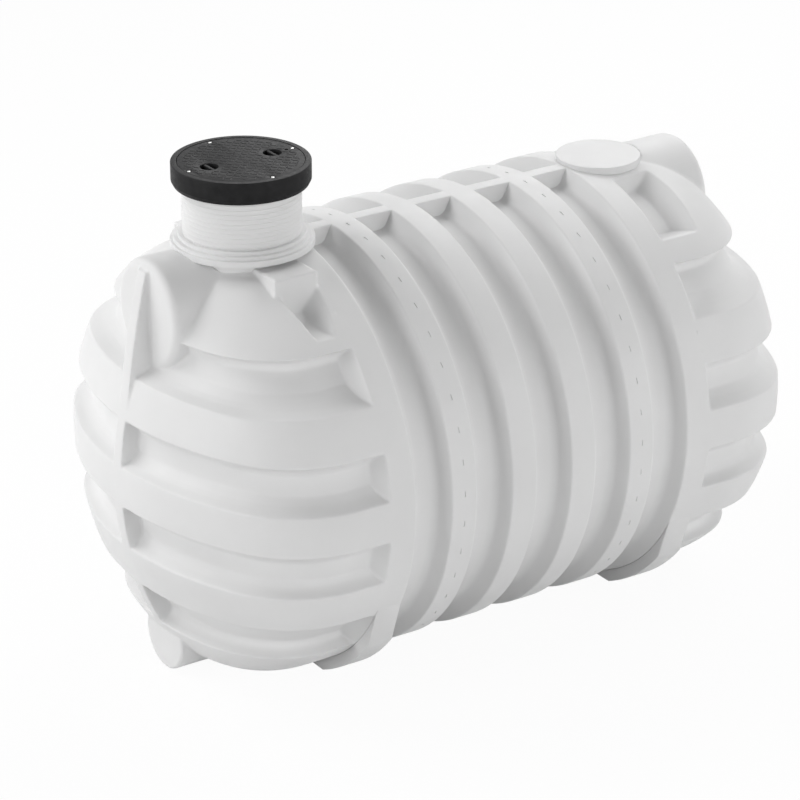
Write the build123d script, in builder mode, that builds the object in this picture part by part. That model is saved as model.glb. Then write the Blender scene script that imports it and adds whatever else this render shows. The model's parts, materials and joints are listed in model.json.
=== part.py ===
from build123d import *
import os
from math import acos, asin, atan2, cos, pi, radians, sin, sqrt

# Horizontal drinking water tank of moulded polyethylene, in millimetres.
# X runs along the tank, from the manhole end to the end with the blank pad. Z is up.
# The origin is under the middle of the tank, on the level of its feet.
# Heights named level are measured from the tank's axis.

# Barrel: hollow hoop ribs with troughs between them, cut flat at the level of the feet
tank_radius = 975
rib_count = 6
rib_pitch = 313
rib_flat = 124
trough_depth = 80
wall_run = 40
wall = 12
foot_cut = 33

# Domed ends: a straight stretch, a corner arc, a front arc and a small flat, turned about the tank's axis
cap_straight = 150
cap_corner_radius = 488
cap_bulge = 616
apex_flat = 30

# Raised bands round the ends, as shares of the radius, with sloped ledges down to the pockets' floor
band_count = 3
band_pitch_share = 0.404
band_height_share = 0.19
ledge_run = 40
ledge_root = 22
ledge_overshoot = 0.2

# Spines along crown and keel, and upright webs at the ends
spine_width = 70
web_width = 68
web_rise_share = 0.338
web_top_drop = 22
web_lip = 16
web_bow = 10
web_relief = 2

# Blank pipe bosses at the ends: their faces are set back from the apex
pipe_boss_radius = 244
pipe_boss_drop = 224
pipe_boss_edge = 35
front_boss_setback = 169.5
rear_boss_setback = 235.5
drain_boss_radius = 152
drain_boss_edge = 10
drain_boss_setback = 206.5

# Neck collar and its side lugs
neck_offset = 113.5
manhole_step = 21
collar_margin = 6
flange_overhang = 49
flange_rise = 12
flange_thickness = 16
socket_height = 12
collar_step_height = 15
collar_step_width = 20
lug_offset = 97
lug_reach = 158
lug_overlap = 50
lug_drop = 20

# Riser shaft, cover frame, lid and its screws
riser_radius = 256
riser_wall = 12
riser_clearance = 0.3
riser_drop = 49
cover_margin = 44
cover_rise = 362
cover_height = 100
cover_taper_height = 20
cover_lip = 34
frame_rim = 28
lid_thickness = 30
lid_clearance = 2
screw_count = 4
screw_inset = 16
screw_head_radius = 7
screw_head_height = 3

# Blank neck pad at the rear
pad_offset = 78.5
pad_radius = 192
pad_rise = 17

# Pockets in the crowns beside the end ribs: angles from the crest at their upper and lower rims,
# distances of their side rims from the rib at both, and how far their sloped walls run
front_pocket = {"angles": (25, 40.7), "rib_rim": (6, 51), "far_rim": (196, 140), "rib_run": 80, "far_run": 20, "low_run": 155}
rear_pocket = {"angles": (12.5, 37), "rib_rim": (-5, -5), "far_rim": (205, 205), "rib_run": 0, "far_run": 80, "low_run": 80}
pocket_top_run = 20

# Feet: the end ribs grow outwards and end in a flat underside
foot_growth = 55
foot_full_angle = 50
foot_top_angle = 62

# Worked out from the sizes above
axis_height = tank_radius - foot_cut
foot_radius = tank_radius + foot_growth
trough_radius = tank_radius - trough_depth
end_rib_x = rib_pitch * (rib_count - 1) / 2
cap_start = end_rib_x + rib_flat / 2
dome_start = cap_start + wall_run
corner_x = cap_start + cap_straight
apex_x = corner_x + cap_bulge
corner_level = tank_radius - cap_corner_radius
front_radius = (cap_bulge**2 + corner_level**2 - cap_corner_radius**2) / (2 * (cap_bulge - cap_corner_radius))
front_centre_x = apex_x - front_radius
join_angle = atan2(corner_level, corner_x - front_centre_x)
apex_angle = asin(apex_flat / front_radius)
band_pitch = band_pitch_share * tank_radius
band_height = band_height_share * tank_radius
crown_level = (band_count + 1) / 2 * band_pitch - band_height / 2
band_levels = [(i - (band_count - 1) / 2) * band_pitch for i in range(band_count)]
rib_centres = [rib_pitch * i - end_rib_x for i in range(rib_count)]
ledge_fractions = [1.08, 0.9, 0.72, 0.5, 0]
band_shares = [0.25, 0.5, 0.75]
web_rise_level = web_rise_share * tank_radius
web_top_level = tank_radius - web_top_drop
pipe_boss_level = tank_radius - pipe_boss_drop
front_boss_end = apex_x - front_boss_setback
rear_boss_end = apex_x - rear_boss_setback
drain_boss_end = apex_x - drain_boss_setback
neck_x = -(cap_start + neck_offset)
manhole_radius = riser_radius - manhole_step
collar_radius = riser_radius + collar_margin
flange_radius = collar_radius + flange_overhang
flange_level = tank_radius + flange_rise
socket_level = flange_level + socket_height
lug_start = neck_x - lug_offset
lug_outer_y = collar_radius + lug_reach
lug_inner_y = collar_radius - lug_overlap
lug_level = tank_radius - lug_drop
cover_radius = riser_radius + cover_margin
cover_level = flange_level + cover_rise
lid_radius = cover_radius - frame_rim
riser_top_level = cover_level - riser_drop
pad_x = cap_start + pad_offset
pad_level = tank_radius + pad_rise
tank_axis = Axis((0, 0, axis_height), (1, 0, 0))
neck_axis = Axis((neck_x, 0, 0), (0, 0, 1))
side_plane = Plane(origin=(0, 0, axis_height), x_dir=(1, 0, 0), z_dir=(0, -1, 0))
neck_plane = Plane(origin=(neck_x, 0, axis_height), x_dir=(1, 0, 0), z_dir=(0, -1, 0))

os.makedirs("parts", exist_ok=True)


def save(builder, name):
    """Label a finished piece and write it to its own file."""
    builder.part.label = name
    export_step(builder.part, "parts/" + name + ".step")


def level_plane(level):
    """Level plane at a height above the tank's axis."""
    return Plane.XY.offset(axis_height + level)


def cross_plane(x):
    """Upright plane across the tank, with its own X along the world's Y and its Y upwards."""
    return Plane(origin=(x, 0, axis_height), x_dir=(0, 1, 0), z_dir=(1, 0, 0))


def envelope_x(radius, depth):
    """Distance along the tank at which the end's surface, set in by a depth, has a radius."""
    if radius < (front_radius - depth) * sin(join_angle):
        return front_centre_x + sqrt((front_radius - depth) ** 2 - radius**2)
    rise = min(radius - corner_level, cap_corner_radius - depth)
    return corner_x + sqrt((cap_corner_radius - depth) ** 2 - rise**2)


def corner_point(side, depth, angle):
    """Point on the corner arc, at an angle up from the axis direction."""
    reach = cap_corner_radius - depth
    return (side * (corner_x + reach * cos(angle)), corner_level + reach * sin(angle))


def front_point(side, depth, angle):
    """Point on the front arc, at an angle up from the axis."""
    reach = front_radius - depth
    return (side * (front_centre_x + reach * cos(angle)), reach * sin(angle))


def apex_point(side, depth):
    """Point on the axis, on the small flat at the end's apex, set in by a depth."""
    return (front_point(side, depth, apex_angle)[0], 0)


def cap_curve(side, depth):
    """The end's outline from the straight stretch to the axis, set in by a depth."""
    ThreePointArc(
        (side * corner_x, tank_radius - depth),
        corner_point(side, depth, (pi / 2 + join_angle) / 2),
        corner_point(side, depth, join_angle),
    )
    ThreePointArc(
        front_point(side, depth, join_angle),
        front_point(side, depth, join_angle / 2),
        front_point(side, depth, apex_angle),
    )
    Line(front_point(side, depth, apex_angle), apex_point(side, depth))


def envelope(side):
    """The end's outer form, from the end rib to the apex, as one solid."""
    with BuildPart() as solid:
        with BuildSketch(side_plane):
            with BuildLine():
                Polyline((side * cap_start, 0), (side * cap_start, tank_radius), (side * corner_x, tank_radius))
                cap_curve(side, 0)
                Line(apex_point(side, 0), (side * cap_start, 0))
            make_face()
        revolve(axis=tank_axis)
    return solid.part


def core(side):
    """What the bands, crown and bosses stand on: the end rib, a trough and the pockets' floor."""
    trough_end = end_rib_x - rib_flat / 2 - wall_run
    with BuildPart() as solid:
        with BuildSketch(side_plane):
            with BuildLine():
                Polyline(
                    (side * (end_rib_x - rib_pitch / 2), 0),
                    (side * (end_rib_x - rib_pitch / 2), trough_radius),
                    (side * trough_end, trough_radius),
                    (side * (end_rib_x - rib_flat / 2), tank_radius),
                    (side * cap_start, tank_radius),
                    (side * dome_start, trough_radius),
                    (side * corner_x, trough_radius),
                )
                cap_curve(side, trough_depth)
                Line(apex_point(side, trough_depth), (side * (end_rib_x - rib_pitch / 2), 0))
            make_face()
        revolve(axis=tank_axis)
    return solid.part


def plan_outline(side, level, depth, steps=10):
    """Level section of the end, set in by a depth, closed by a chord inside the end rib."""
    half_width = sqrt((tank_radius - depth) ** 2 - level**2)
    curve = []
    for i in range(2 * steps + 1):
        y = -half_width * cos(pi / 2 * i / steps)
        curve.append((side * envelope_x(sqrt(y**2 + level**2), depth), y))
    with BuildSketch(level_plane(level)) as outline:
        with BuildLine():
            Line((side * end_rib_x, -half_width), curve[0])
            Spline(*curve)
            Line(curve[-1], (side * end_rib_x, half_width))
            Line((side * end_rib_x, half_width), (side * end_rib_x, -half_width))
        make_face()
    return outline.sketch


def ledge_outlines(side, edge_level, direction, fractions):
    """Level sections of a sloped ledge, at fractions of its depth, from the pockets' floor up."""
    outlines = []
    for fraction in fractions:
        root = max(0, 2 * fraction - 1)
        run = ledge_run * fraction + ledge_root * root**2
        outlines.append(plan_outline(side, edge_level + direction * run, fraction * trough_depth))
    return outlines


def raised_form(side, outlines):
    """Solid between level sections of the end, outside the end rib."""
    with BuildPart() as solid:
        loft(outlines, ruled=True)
        split(bisect_by=Plane.YZ.offset(side * cap_start), keep=outer_half(side))
    return solid.part


def end_form(side, outward):
    """All of an end that is above its top ledge, or below its bottom one."""
    edge_level = outward * (crown_level + ledge_run * ledge_overshoot)
    beyond = Keep.TOP if outward > 0 else Keep.BOTTOM
    with BuildPart() as main_form:
        add(envelope(side))
        split(bisect_by=level_plane(edge_level), keep=beyond)
    with BuildPart() as solid:
        fractions = ledge_fractions[:-1] + [-ledge_overshoot]
        add(raised_form(side, ledge_outlines(side, outward * crown_level, -outward, fractions)))
        add(envelope(side), mode=Mode.INTERSECT)
        add(main_form.part)
        add(core(side), mode=Mode.SUBTRACT)
    return solid.part


def outer_half(side):
    """The half that a cut across the tank keeps at an end."""
    return Keep.TOP if side > 0 else Keep.BOTTOM


def end_face(builder, side):
    """The face of a stub that looks along the tank, away from its middle."""
    return builder.faces().sort_by(Axis.X)[-1 if side > 0 else 0]


def rim_point(flank, radius, angle):
    """Point across the tank, at an angle from straight down, on one flank."""
    return (flank * radius * sin(angle), -radius * cos(angle))


def trough_void(start, end):
    """The space of a trough between two ribs' edges, up to the ribs' radius."""
    with BuildPart() as solid:
        with BuildSketch(side_plane):
            with BuildLine():
                Polyline(
                    (start, tank_radius),
                    (start + wall_run, trough_radius),
                    (end - wall_run, trough_radius),
                    (end, tank_radius),
                    close=True,
                )
            make_face()
        revolve(axis=tank_axis)
    return solid.part


def pocket_point(side, flank, distance, angle, depth):
    """Point at a distance from the end rib, an angle from the crest and a depth under the crown."""
    reach = tank_radius - depth
    return Vector(side * (cap_start + distance), flank * reach * sin(angle), axis_height + reach * cos(angle))


def pocket_wall(points, inside):
    """Plane through three points that faces the middle of a pocket."""
    normal = (points[1] - points[0]).cross(points[2] - points[0])
    if normal.dot(inside - points[0]) < 0:
        normal = -normal
    return Plane(origin=points[0], z_dir=normal)


def crown_pocket(side, flank, pocket):
    """What the pocket on one flank takes from a crown."""
    first, last = [radians(angle) for angle in pocket["angles"]]
    rib_top, rib_low = pocket["rib_rim"]
    far_top, far_low = pocket["far_rim"]
    top_angle = first + pocket_top_run / tank_radius
    low_angle = last - pocket["low_run"] / tank_radius
    walls = [
        [(rib_top, first, 0), (far_top, first, 0), (rib_top, top_angle, trough_depth)],
        [(rib_low, last, 0), (far_low, last, 0), (rib_low, low_angle, trough_depth)],
        [(rib_top, first, 0), (rib_low, last, 0), (rib_top + pocket["rib_run"], first, trough_depth)],
        [(far_top, first, 0), (far_low, last, 0), (far_top - pocket["far_run"], first, trough_depth)],
    ]
    middle = (first + last) / 2
    inside = pocket_point(side, flank, (rib_top + far_top) / 2, middle, 0)
    outward = Vector(0, flank * sin(middle), cos(middle))
    with BuildPart() as solid:
        with BuildSketch(Plane(origin=inside, x_dir=(1, 0, 0), z_dir=outward)):
            Rectangle(2 * far_top, tank_radius)
        extrude(amount=1.5 * trough_depth, both=True)
        for wall_points in walls:
            corners = [pocket_point(side, flank, *point) for point in wall_points]
            split(bisect_by=pocket_wall(corners, inside), keep=Keep.TOP)
    return solid.part


def upright_cylinder(x, radius, low, high):
    """Round column on the tank's middle plane, between two levels."""
    with BuildPart() as solid:
        with BuildSketch(level_plane(low)):
            with Locations((x, 0)):
                Circle(radius)
        extrude(amount=high - low)
    return solid.part


# The manhole's shaft through the shell, and the columns that pieces on the crown stop at
manhole_shaft = upright_cylinder(neck_x, manhole_radius, 0, cover_level)
with BuildPart() as neck_column:
    add(upright_cylinder(neck_x, collar_radius, 0, cover_level))
    add(upright_cylinder(neck_x, flange_radius, flange_level, cover_level))
pad_column = upright_cylinder(pad_x, pad_radius, 0, pad_level + trough_depth)

# Hoop ribs: hollow channels, open to the inside of the tank
slope_wall = wall * sqrt(1 + (wall_run / trough_depth) ** 2)
rib_foot = rib_flat / 2 + wall_run
inner_flat = rib_flat / 2 + wall_run * wall / trough_depth - slope_wall
inner_foot = inner_flat + wall_run
for number, centre in enumerate(rib_centres, start=1):
    with BuildPart() as rib_hollow:
        with BuildSketch(side_plane):
            with BuildLine():
                Polyline(
                    (centre - inner_foot, trough_radius - wall),
                    (centre - inner_flat, tank_radius - wall),
                    (centre + inner_flat, tank_radius - wall),
                    (centre + inner_foot, trough_radius - wall),
                    close=True,
                )
            make_face()
        revolve(axis=tank_axis)
        split(bisect_by=Plane.XY.offset(wall), keep=Keep.TOP)
    with BuildPart() as hoop_rib:
        with BuildSketch(side_plane):
            with BuildLine():
                Polyline(
                    (centre - rib_foot, trough_radius - wall),
                    (centre - rib_foot, trough_radius),
                    (centre - rib_flat / 2, tank_radius),
                    (centre + rib_flat / 2, tank_radius),
                    (centre + rib_foot, trough_radius),
                    (centre + rib_foot, trough_radius - wall),
                    close=True,
                )
            make_face()
        revolve(axis=tank_axis)
        split(bisect_by=Plane.XY, keep=Keep.TOP)
        add(rib_hollow.part, mode=Mode.SUBTRACT)
        if number == 1:
            add(manhole_shaft, mode=Mode.SUBTRACT)
    save(hoop_rib, "hoop_rib_" + str(number))

# Troughs: plain hoops between the ribs' feet
trough_floor = rib_pitch - 2 * rib_foot
for number, centre in enumerate(rib_centres[:-1], start=1):
    with BuildPart() as barrel_trough:
        with BuildSketch(side_plane):
            with Locations((centre + rib_pitch / 2, trough_radius - wall / 2)):
                Rectangle(trough_floor, wall)
        revolve(axis=tank_axis)
    save(barrel_trough, "barrel_trough_" + str(number))

# Spines: bars that bridge the troughs along the crown and the keel, flush with the ribs
with BuildPart() as all_spines:
    for centre in rib_centres[:-1]:
        add(trough_void(centre + rib_flat / 2, centre + rib_pitch - rib_flat / 2))
    split(bisect_by=Plane.XZ.offset(spine_width / 2), keep=Keep.BOTTOM)
    split(bisect_by=Plane.XZ.offset(-spine_width / 2), keep=Keep.TOP)
with BuildPart() as crest_spine:
    add(all_spines.part)
    split(bisect_by=level_plane(0), keep=Keep.TOP)
save(crest_spine, "crest_spine")
with BuildPart() as keel_spine:
    add(all_spines.part)
    split(bisect_by=level_plane(0), keep=Keep.BOTTOM)
    split(bisect_by=Plane.XY, keep=Keep.TOP)
save(keel_spine, "keel_spine")

# Ends: the same pieces at both, with the neck only at the front
crowns = []
cores = []
ends = [(-1, "front", front_boss_end, front_pocket), (1, "rear", rear_boss_end, rear_pocket)]
for side, end, boss_end, pocket in ends:
    end_envelope = envelope(side)
    end_core = core(side)

    # Dome: the shell at the pockets' floor
    with BuildPart() as dome:
        with BuildSketch(side_plane):
            with BuildLine():
                Line((side * dome_start, trough_radius), (side * corner_x, trough_radius))
                cap_curve(side, trough_depth)
                Line(apex_point(side, trough_depth), apex_point(side, trough_depth + wall))
                cap_curve(side, trough_depth + wall)
                Line((side * corner_x, trough_radius - wall), (side * dome_start, trough_radius - wall))
                Line((side * dome_start, trough_radius - wall), (side * dome_start, trough_radius))
            make_face()
        revolve(axis=tank_axis)
        if side < 0:
            add(manhole_shaft, mode=Mode.SUBTRACT)
    save(dome, end + "_dome")

    # Bands: raised rings round the end, at even levels about the axis
    bands = []
    for number, level in enumerate(band_levels, start=1):
        low = level - band_height / 2
        high = level + band_height / 2
        middle_outlines = [plan_outline(side, low + band_height * share, 0) for share in band_shares]
        lower_outlines = ledge_outlines(side, low, -1, ledge_fractions)
        upper_outlines = ledge_outlines(side, high, 1, ledge_fractions)
        upper_outlines.reverse()
        with BuildPart() as band:
            add(raised_form(side, lower_outlines + middle_outlines + upper_outlines))
            add(end_core, mode=Mode.SUBTRACT)
        save(band, end + "_band_" + str(number))
        bands.append(band.part)

    # Crown: all above the highest pocket, with a pocket of its own on each flank
    full_crown = end_form(side, 1)
    with BuildPart() as crown:
        add(full_crown)
        for flank in (-1, 1):
            add(crown_pocket(side, flank, pocket), mode=Mode.SUBTRACT)
        if side < 0:
            add(manhole_shaft, mode=Mode.SUBTRACT)
    save(crown, end + "_crown")

    # Belly: all below the lowest pocket, cut flat at the level of the feet
    with BuildPart() as belly:
        add(end_form(side, -1))
        split(bisect_by=Plane.XY, keep=Keep.TOP)
    save(belly, end + "_belly")

    # Pipe boss: a blank level stub, high on the end, from the neck or pad to its own face
    with BuildPart() as pipe_boss:
        with BuildSketch(cross_plane(0)):
            with Locations((0, pipe_boss_level)):
                Circle(pipe_boss_radius)
        extrude(amount=side * boss_end)
        fillet(end_face(pipe_boss, side).edges(), pipe_boss_edge)
        split(bisect_by=Plane.YZ.offset(side * cap_start), keep=outer_half(side))
        if boss_end < envelope_x(crown_level, 0):
            split(bisect_by=level_plane(crown_level), keep=Keep.TOP)
        add(end_core, mode=Mode.SUBTRACT)
        add(full_crown, mode=Mode.SUBTRACT)
        add(bands[-1], mode=Mode.SUBTRACT)
        add(neck_column.part if side < 0 else pad_column, mode=Mode.SUBTRACT)
    save(pipe_boss, end + "_pipe_boss")

    # Drain boss: a smaller blank stub at the bottom, under the belly's edge
    with BuildPart() as drain_boss:
        with BuildSketch(cross_plane(0)):
            with Locations((0, drain_boss_radius - axis_height)):
                Circle(drain_boss_radius)
        extrude(amount=side * drain_boss_end)
        fillet(end_face(drain_boss, side).edges(), drain_boss_edge)
        split(bisect_by=Plane.YZ.offset(side * cap_start), keep=outer_half(side))
        split(bisect_by=level_plane(-crown_level), keep=Keep.BOTTOM)
        add(end_core, mode=Mode.SUBTRACT)
        add(belly.part, mode=Mode.SUBTRACT)
    save(drain_boss, end + "_drain_boss")

    # Web: the upright bar between the bands, and its fin in front of the pipe boss
    rise_angle = asin(web_rise_level / front_radius)
    rise_point = front_point(side, web_relief, rise_angle)
    fin_top = (side * (boss_end + web_lip), web_top_level)
    fin_middle = ((rise_point[0] + fin_top[0]) / 2 + side * web_bow, (rise_point[1] + fin_top[1]) / 2)
    with BuildPart() as web:
        add(end_envelope)
        split(bisect_by=Plane.XZ.offset(web_width / 2), keep=Keep.BOTTOM)
        split(bisect_by=Plane.XZ.offset(-web_width / 2), keep=Keep.TOP)
        split(bisect_by=level_plane(web_relief - crown_level), keep=Keep.TOP)
        for level in band_levels:
            with Locations((side * apex_x / 2, 0, axis_height + level)):
                Box(apex_x, tank_radius, band_height + 2 * web_relief, mode=Mode.SUBTRACT)
        with BuildSketch(side_plane):
            with BuildLine():
                ThreePointArc(rise_point, fin_middle, fin_top)
                Polyline(
                    fin_top,
                    (side * corner_x, web_top_level),
                    (side * corner_x, web_rise_level),
                    rise_point,
                )
            make_face()
        extrude(amount=web_width / 2, both=True)
        for neighbour in [end_core, full_crown, belly.part, pipe_boss.part, drain_boss.part] + bands:
            add(neighbour, mode=Mode.SUBTRACT)
        add(neck_column.part if side < 0 else pad_column, mode=Mode.SUBTRACT)
    save(web, end + "_web")

    # Foot: two flares that widen the end rib and end level with its flat underside
    inner_angle = acos(axis_height / tank_radius)
    outer_angle = acos(axis_height / foot_radius)
    full_angle = radians(foot_full_angle)
    top_angle = radians(foot_top_angle)
    with BuildPart() as foot:
        with BuildSketch(cross_plane(side * cap_start)):
            for flank in (-1, 1):
                with BuildLine():
                    Line(rim_point(flank, tank_radius, inner_angle), rim_point(flank, foot_radius, outer_angle))
                    ThreePointArc(
                        rim_point(flank, foot_radius, outer_angle),
                        rim_point(flank, foot_radius, (outer_angle + full_angle) / 2),
                        rim_point(flank, foot_radius, full_angle),
                    )
                    Line(rim_point(flank, foot_radius, full_angle), rim_point(flank, tank_radius, top_angle))
                    ThreePointArc(
                        rim_point(flank, tank_radius, top_angle),
                        rim_point(flank, tank_radius, (inner_angle + top_angle) / 2),
                        rim_point(flank, tank_radius, inner_angle),
                    )
                make_face()
        extrude(amount=-side * rib_flat)
    save(foot, "foot_" + end)

    crowns.append(crown.part)
    cores.append(end_core)

front_crown, rear_crown = crowns
front_core, rear_core = cores

# Neck collar: a stepped flange on a short neck that runs down to the shell
step_base = flange_level + flange_thickness
with BuildPart() as neck_collar:
    with BuildSketch(neck_plane):
        with BuildLine():
            Polyline(
                (manhole_radius, 0),
                (manhole_radius, socket_level),
                (riser_radius + riser_clearance, socket_level),
                (riser_radius + riser_clearance, step_base + 2 * collar_step_height),
                (riser_radius + collar_step_width, step_base + 2 * collar_step_height),
                (riser_radius + collar_step_width, step_base + collar_step_height),
                (riser_radius + 2 * collar_step_width, step_base + collar_step_height),
                (riser_radius + 2 * collar_step_width, step_base),
                (flange_radius, step_base),
                (flange_radius, flange_level),
                (collar_radius, flange_level),
                (collar_radius, 0),
                close=True,
            )
        make_face()
    revolve(axis=neck_axis)
    add(front_core, mode=Mode.SUBTRACT)
    add(front_crown, mode=Mode.SUBTRACT)
    add(crest_spine.part, mode=Mode.SUBTRACT)
save(neck_collar, "neck_collar")

# Side lugs: level-topped blocks beside the collar, from the crown's pockets to the end rib
for flank, name in ((-1, "neck_lug_left"), (1, "neck_lug_right")):
    with BuildPart() as neck_lug:
        with BuildSketch(level_plane(lug_level)):
            with Locations(((lug_start - cap_start) / 2, flank * (lug_inner_y + lug_outer_y) / 2)):
                Rectangle(-cap_start - lug_start, lug_outer_y - lug_inner_y)
        extrude(amount=-lug_level)
        add(front_core, mode=Mode.SUBTRACT)
        add(front_crown, mode=Mode.SUBTRACT)
        add(neck_column.part, mode=Mode.SUBTRACT)
    save(neck_lug, name)

# Riser shaft: a tube that stands in the collar
with BuildPart() as riser_shaft:
    with BuildSketch(level_plane(socket_level)):
        with Locations((neck_x, 0)):
            Circle(riser_radius)
            Circle(riser_radius - riser_wall, mode=Mode.SUBTRACT)
    extrude(amount=riser_top_level - socket_level)
save(riser_shaft, "riser_shaft")

# Cover frame: a rim that sits over the riser and holds the lid in a recess
with BuildPart() as cover_frame:
    with BuildSketch(neck_plane):
        with BuildLine():
            Polyline(
                (lid_radius + lid_clearance, cover_level),
                (lid_radius + lid_clearance, cover_level - lid_thickness),
                (riser_radius - riser_wall, cover_level - lid_thickness),
                (riser_radius - riser_wall, riser_top_level),
                (riser_radius + riser_clearance, riser_top_level),
                (riser_radius + riser_clearance, cover_level - cover_height),
                (riser_radius + cover_lip, cover_level - cover_height),
                (cover_radius, cover_level - cover_height + cover_taper_height),
                (cover_radius, cover_level),
                close=True,
            )
        make_face()
    revolve(axis=neck_axis)
save(cover_frame, "cover_frame")

# Lid: a round plate, flush with the frame
with BuildPart() as cover_lid:
    with BuildSketch(level_plane(cover_level - lid_thickness)):
        with Locations((neck_x, 0)):
            Circle(lid_radius)
    extrude(amount=lid_thickness)
save(cover_lid, "cover_lid")

# Screws: pan heads near the lid's edge
screw_circle = lid_radius - screw_inset
with BuildPart() as lid_screws:
    with BuildSketch(level_plane(cover_level)):
        with Locations((neck_x, 0)):
            with PolarLocations(screw_circle, screw_count):
                Circle(screw_head_radius)
    extrude(amount=screw_head_height)
save(lid_screws, "lid_screws")

# Rear neck pad: a blank disc on the crown, over the end rib
with BuildPart() as rear_neck_pad:
    with BuildSketch(level_plane(pad_level)):
        with Locations((pad_x, 0)):
            Circle(pad_radius)
    extrude(amount=-pad_level)
    add(rear_core, mode=Mode.SUBTRACT)
    add(rear_crown, mode=Mode.SUBTRACT)
save(rear_neck_pad, "rear_neck_pad")
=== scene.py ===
import json
from math import cos, pi, radians, sin, tan

import bpy
from mathutils import Matrix, Vector

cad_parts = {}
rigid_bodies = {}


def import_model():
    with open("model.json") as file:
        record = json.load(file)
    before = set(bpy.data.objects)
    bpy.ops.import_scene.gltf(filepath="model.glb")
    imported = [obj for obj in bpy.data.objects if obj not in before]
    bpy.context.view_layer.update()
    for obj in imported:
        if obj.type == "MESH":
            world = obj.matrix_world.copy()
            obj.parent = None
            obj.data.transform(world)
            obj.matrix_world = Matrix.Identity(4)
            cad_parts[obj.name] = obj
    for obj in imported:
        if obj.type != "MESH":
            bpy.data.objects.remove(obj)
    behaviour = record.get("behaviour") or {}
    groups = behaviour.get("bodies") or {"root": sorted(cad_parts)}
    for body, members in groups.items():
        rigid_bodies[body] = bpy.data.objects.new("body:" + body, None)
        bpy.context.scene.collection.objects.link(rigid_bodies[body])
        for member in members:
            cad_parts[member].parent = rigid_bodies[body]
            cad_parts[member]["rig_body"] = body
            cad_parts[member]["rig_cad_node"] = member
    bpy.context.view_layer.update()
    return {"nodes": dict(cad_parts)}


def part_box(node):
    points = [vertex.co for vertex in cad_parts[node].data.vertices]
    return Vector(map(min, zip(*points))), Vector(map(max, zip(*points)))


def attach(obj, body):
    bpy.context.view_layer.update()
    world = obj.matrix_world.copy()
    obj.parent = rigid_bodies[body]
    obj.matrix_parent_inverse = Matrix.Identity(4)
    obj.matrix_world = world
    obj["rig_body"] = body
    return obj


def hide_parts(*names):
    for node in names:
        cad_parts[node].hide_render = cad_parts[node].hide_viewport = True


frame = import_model()

bl_info = {
    "name": "Drinking Water Tank",
    "version": (1, 0, 0),
    "blender": (4, 5, 0),
    "location": "View3D > Sidebar > Water Tank",
    "description": "Finishes a horizontal moulded water tank around its CAD model, with a studio",
    "category": "Object",
}

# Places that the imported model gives, in metres
RIB_BOXES = [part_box("hoop_rib_%d" % number) for number in range(1, 7)]
RIB_CENTRES = [(low.x + high.x) / 2 for low, high in RIB_BOXES]
TANK_RADIUS = (RIB_BOXES[1][1].y - RIB_BOXES[1][0].y) / 2
AXIS_HEIGHT = RIB_BOXES[1][1].z - TANK_RADIUS
TROUGH_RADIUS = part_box("barrel_trough_2")[1].z - AXIS_HEIGHT
LID_LOW, LID_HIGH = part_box("cover_lid")
COVER_LOW, COVER_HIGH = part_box("cover_frame")
RISER_LOW, RISER_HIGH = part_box("riser_shaft")
COLLAR_LOW, COLLAR_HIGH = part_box("neck_collar")
PAD_LOW, PAD_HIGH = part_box("rear_neck_pad")
SPINE_LOW, SPINE_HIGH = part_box("crest_spine")
NECK_X = (LID_LOW.x + LID_HIGH.x) / 2
LID_RADIUS = (LID_HIGH.x - LID_LOW.x) / 2
COVER_RADIUS = (COVER_HIGH.x - COVER_LOW.x) / 2
RISER_RADIUS = (RISER_HIGH.x - RISER_LOW.x) / 2
FLANGE_RADIUS = (COLLAR_HIGH.x - COLLAR_LOW.x) / 2

# Fits and small sizes, in metres
PLUG_GAP = 0.03             # between a trough's radius and the plug that shuts an end while it is merged
PLUG_DEPTH = 0.24
PLUG_SHIFT = 0.01
FILLER_RADIUS = 0.245       # of the cylinder that fills the manhole while the end is merged
FILLER_DEPTH = 0.6
FILLER_DROP = 0.075
SNAP_REACH = 0.0025         # how near the tank's radius a point is drawn onto it
MARK_TILT = radians(4)
KEEL_COSINE = -0.9          # past it a mark would lie along the keel, and is left out
SPINE_SINK = 0.0006
SPINE_CROWN = 0.0006
SPINE_INSET = 0.01
RISER_WALL = 0.012
RIDGE_HALF_SHARE = 0.17     # half a ridge's width, as a share of the pitch
RIDGE_TOP_SHARE = 0.4
COLLAR_FIT = 0.0005
COLLAR_ROOT = 0.008
FLANGE_OVERHANG = 0.049
FLANGE_DROP = 0.030
STEP_DROP = 0.015
LOWER_STEP = 0.0395
UPPER_STEP = 0.0195
COVER_FIT = 0.0004
COVER_TAPER = 0.010
COVER_TAPER_HEIGHT = 0.020
LID_GAP = 0.002
LID_FIT = 0.0005
LID_EDGE = 0.0012
CUT_MARGIN = 0.01
HAND_HOLE_DEPTH = 0.022
SMALL_HOLE_OFFSET = 0.226
SMALL_HOLE_RADIUS = 0.0085
SMALL_HOLE_DEPTH = 0.02
COUNTERBORE_RADIUS = 0.0115
COUNTERBORE_DEPTH = 0.004
HANDLE_WIDTH = 0.014
HANDLE_HEIGHT = 0.012
HANDLE_DROP = 0.008
HANDLE_OVERLAP = 0.002
HANDLE_EDGE = 0.002
SCREW_RADIUS = 0.0075
SCREW_DEPTH = 0.004
SCREW_LIFT = 0.0006
SCREW_EDGE = 0.0012
SOCKET_RADIUS = 0.0032
SOCKET_DEPTH = 0.0016
GRIP_BORDER = 0.026
GRIP_CLEARANCE = 0.014
GRIP_TOP_LENGTH = 0.84      # a bar's top as shares of its foot
GRIP_TOP_WIDTH = 0.5

# The camera, as fitted to the photograph
CAMERA_PLACE = (-8.605, -12.786, 7.750)
CAMERA_RIGHT = (0.830, -0.5576, 0)
CAMERA_UP = (0.2292, 0.3411, 0.9113)
CAMERA_LENS = 168.15
CAMERA_SHIFT = (-0.0323, 0.0358)

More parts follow.
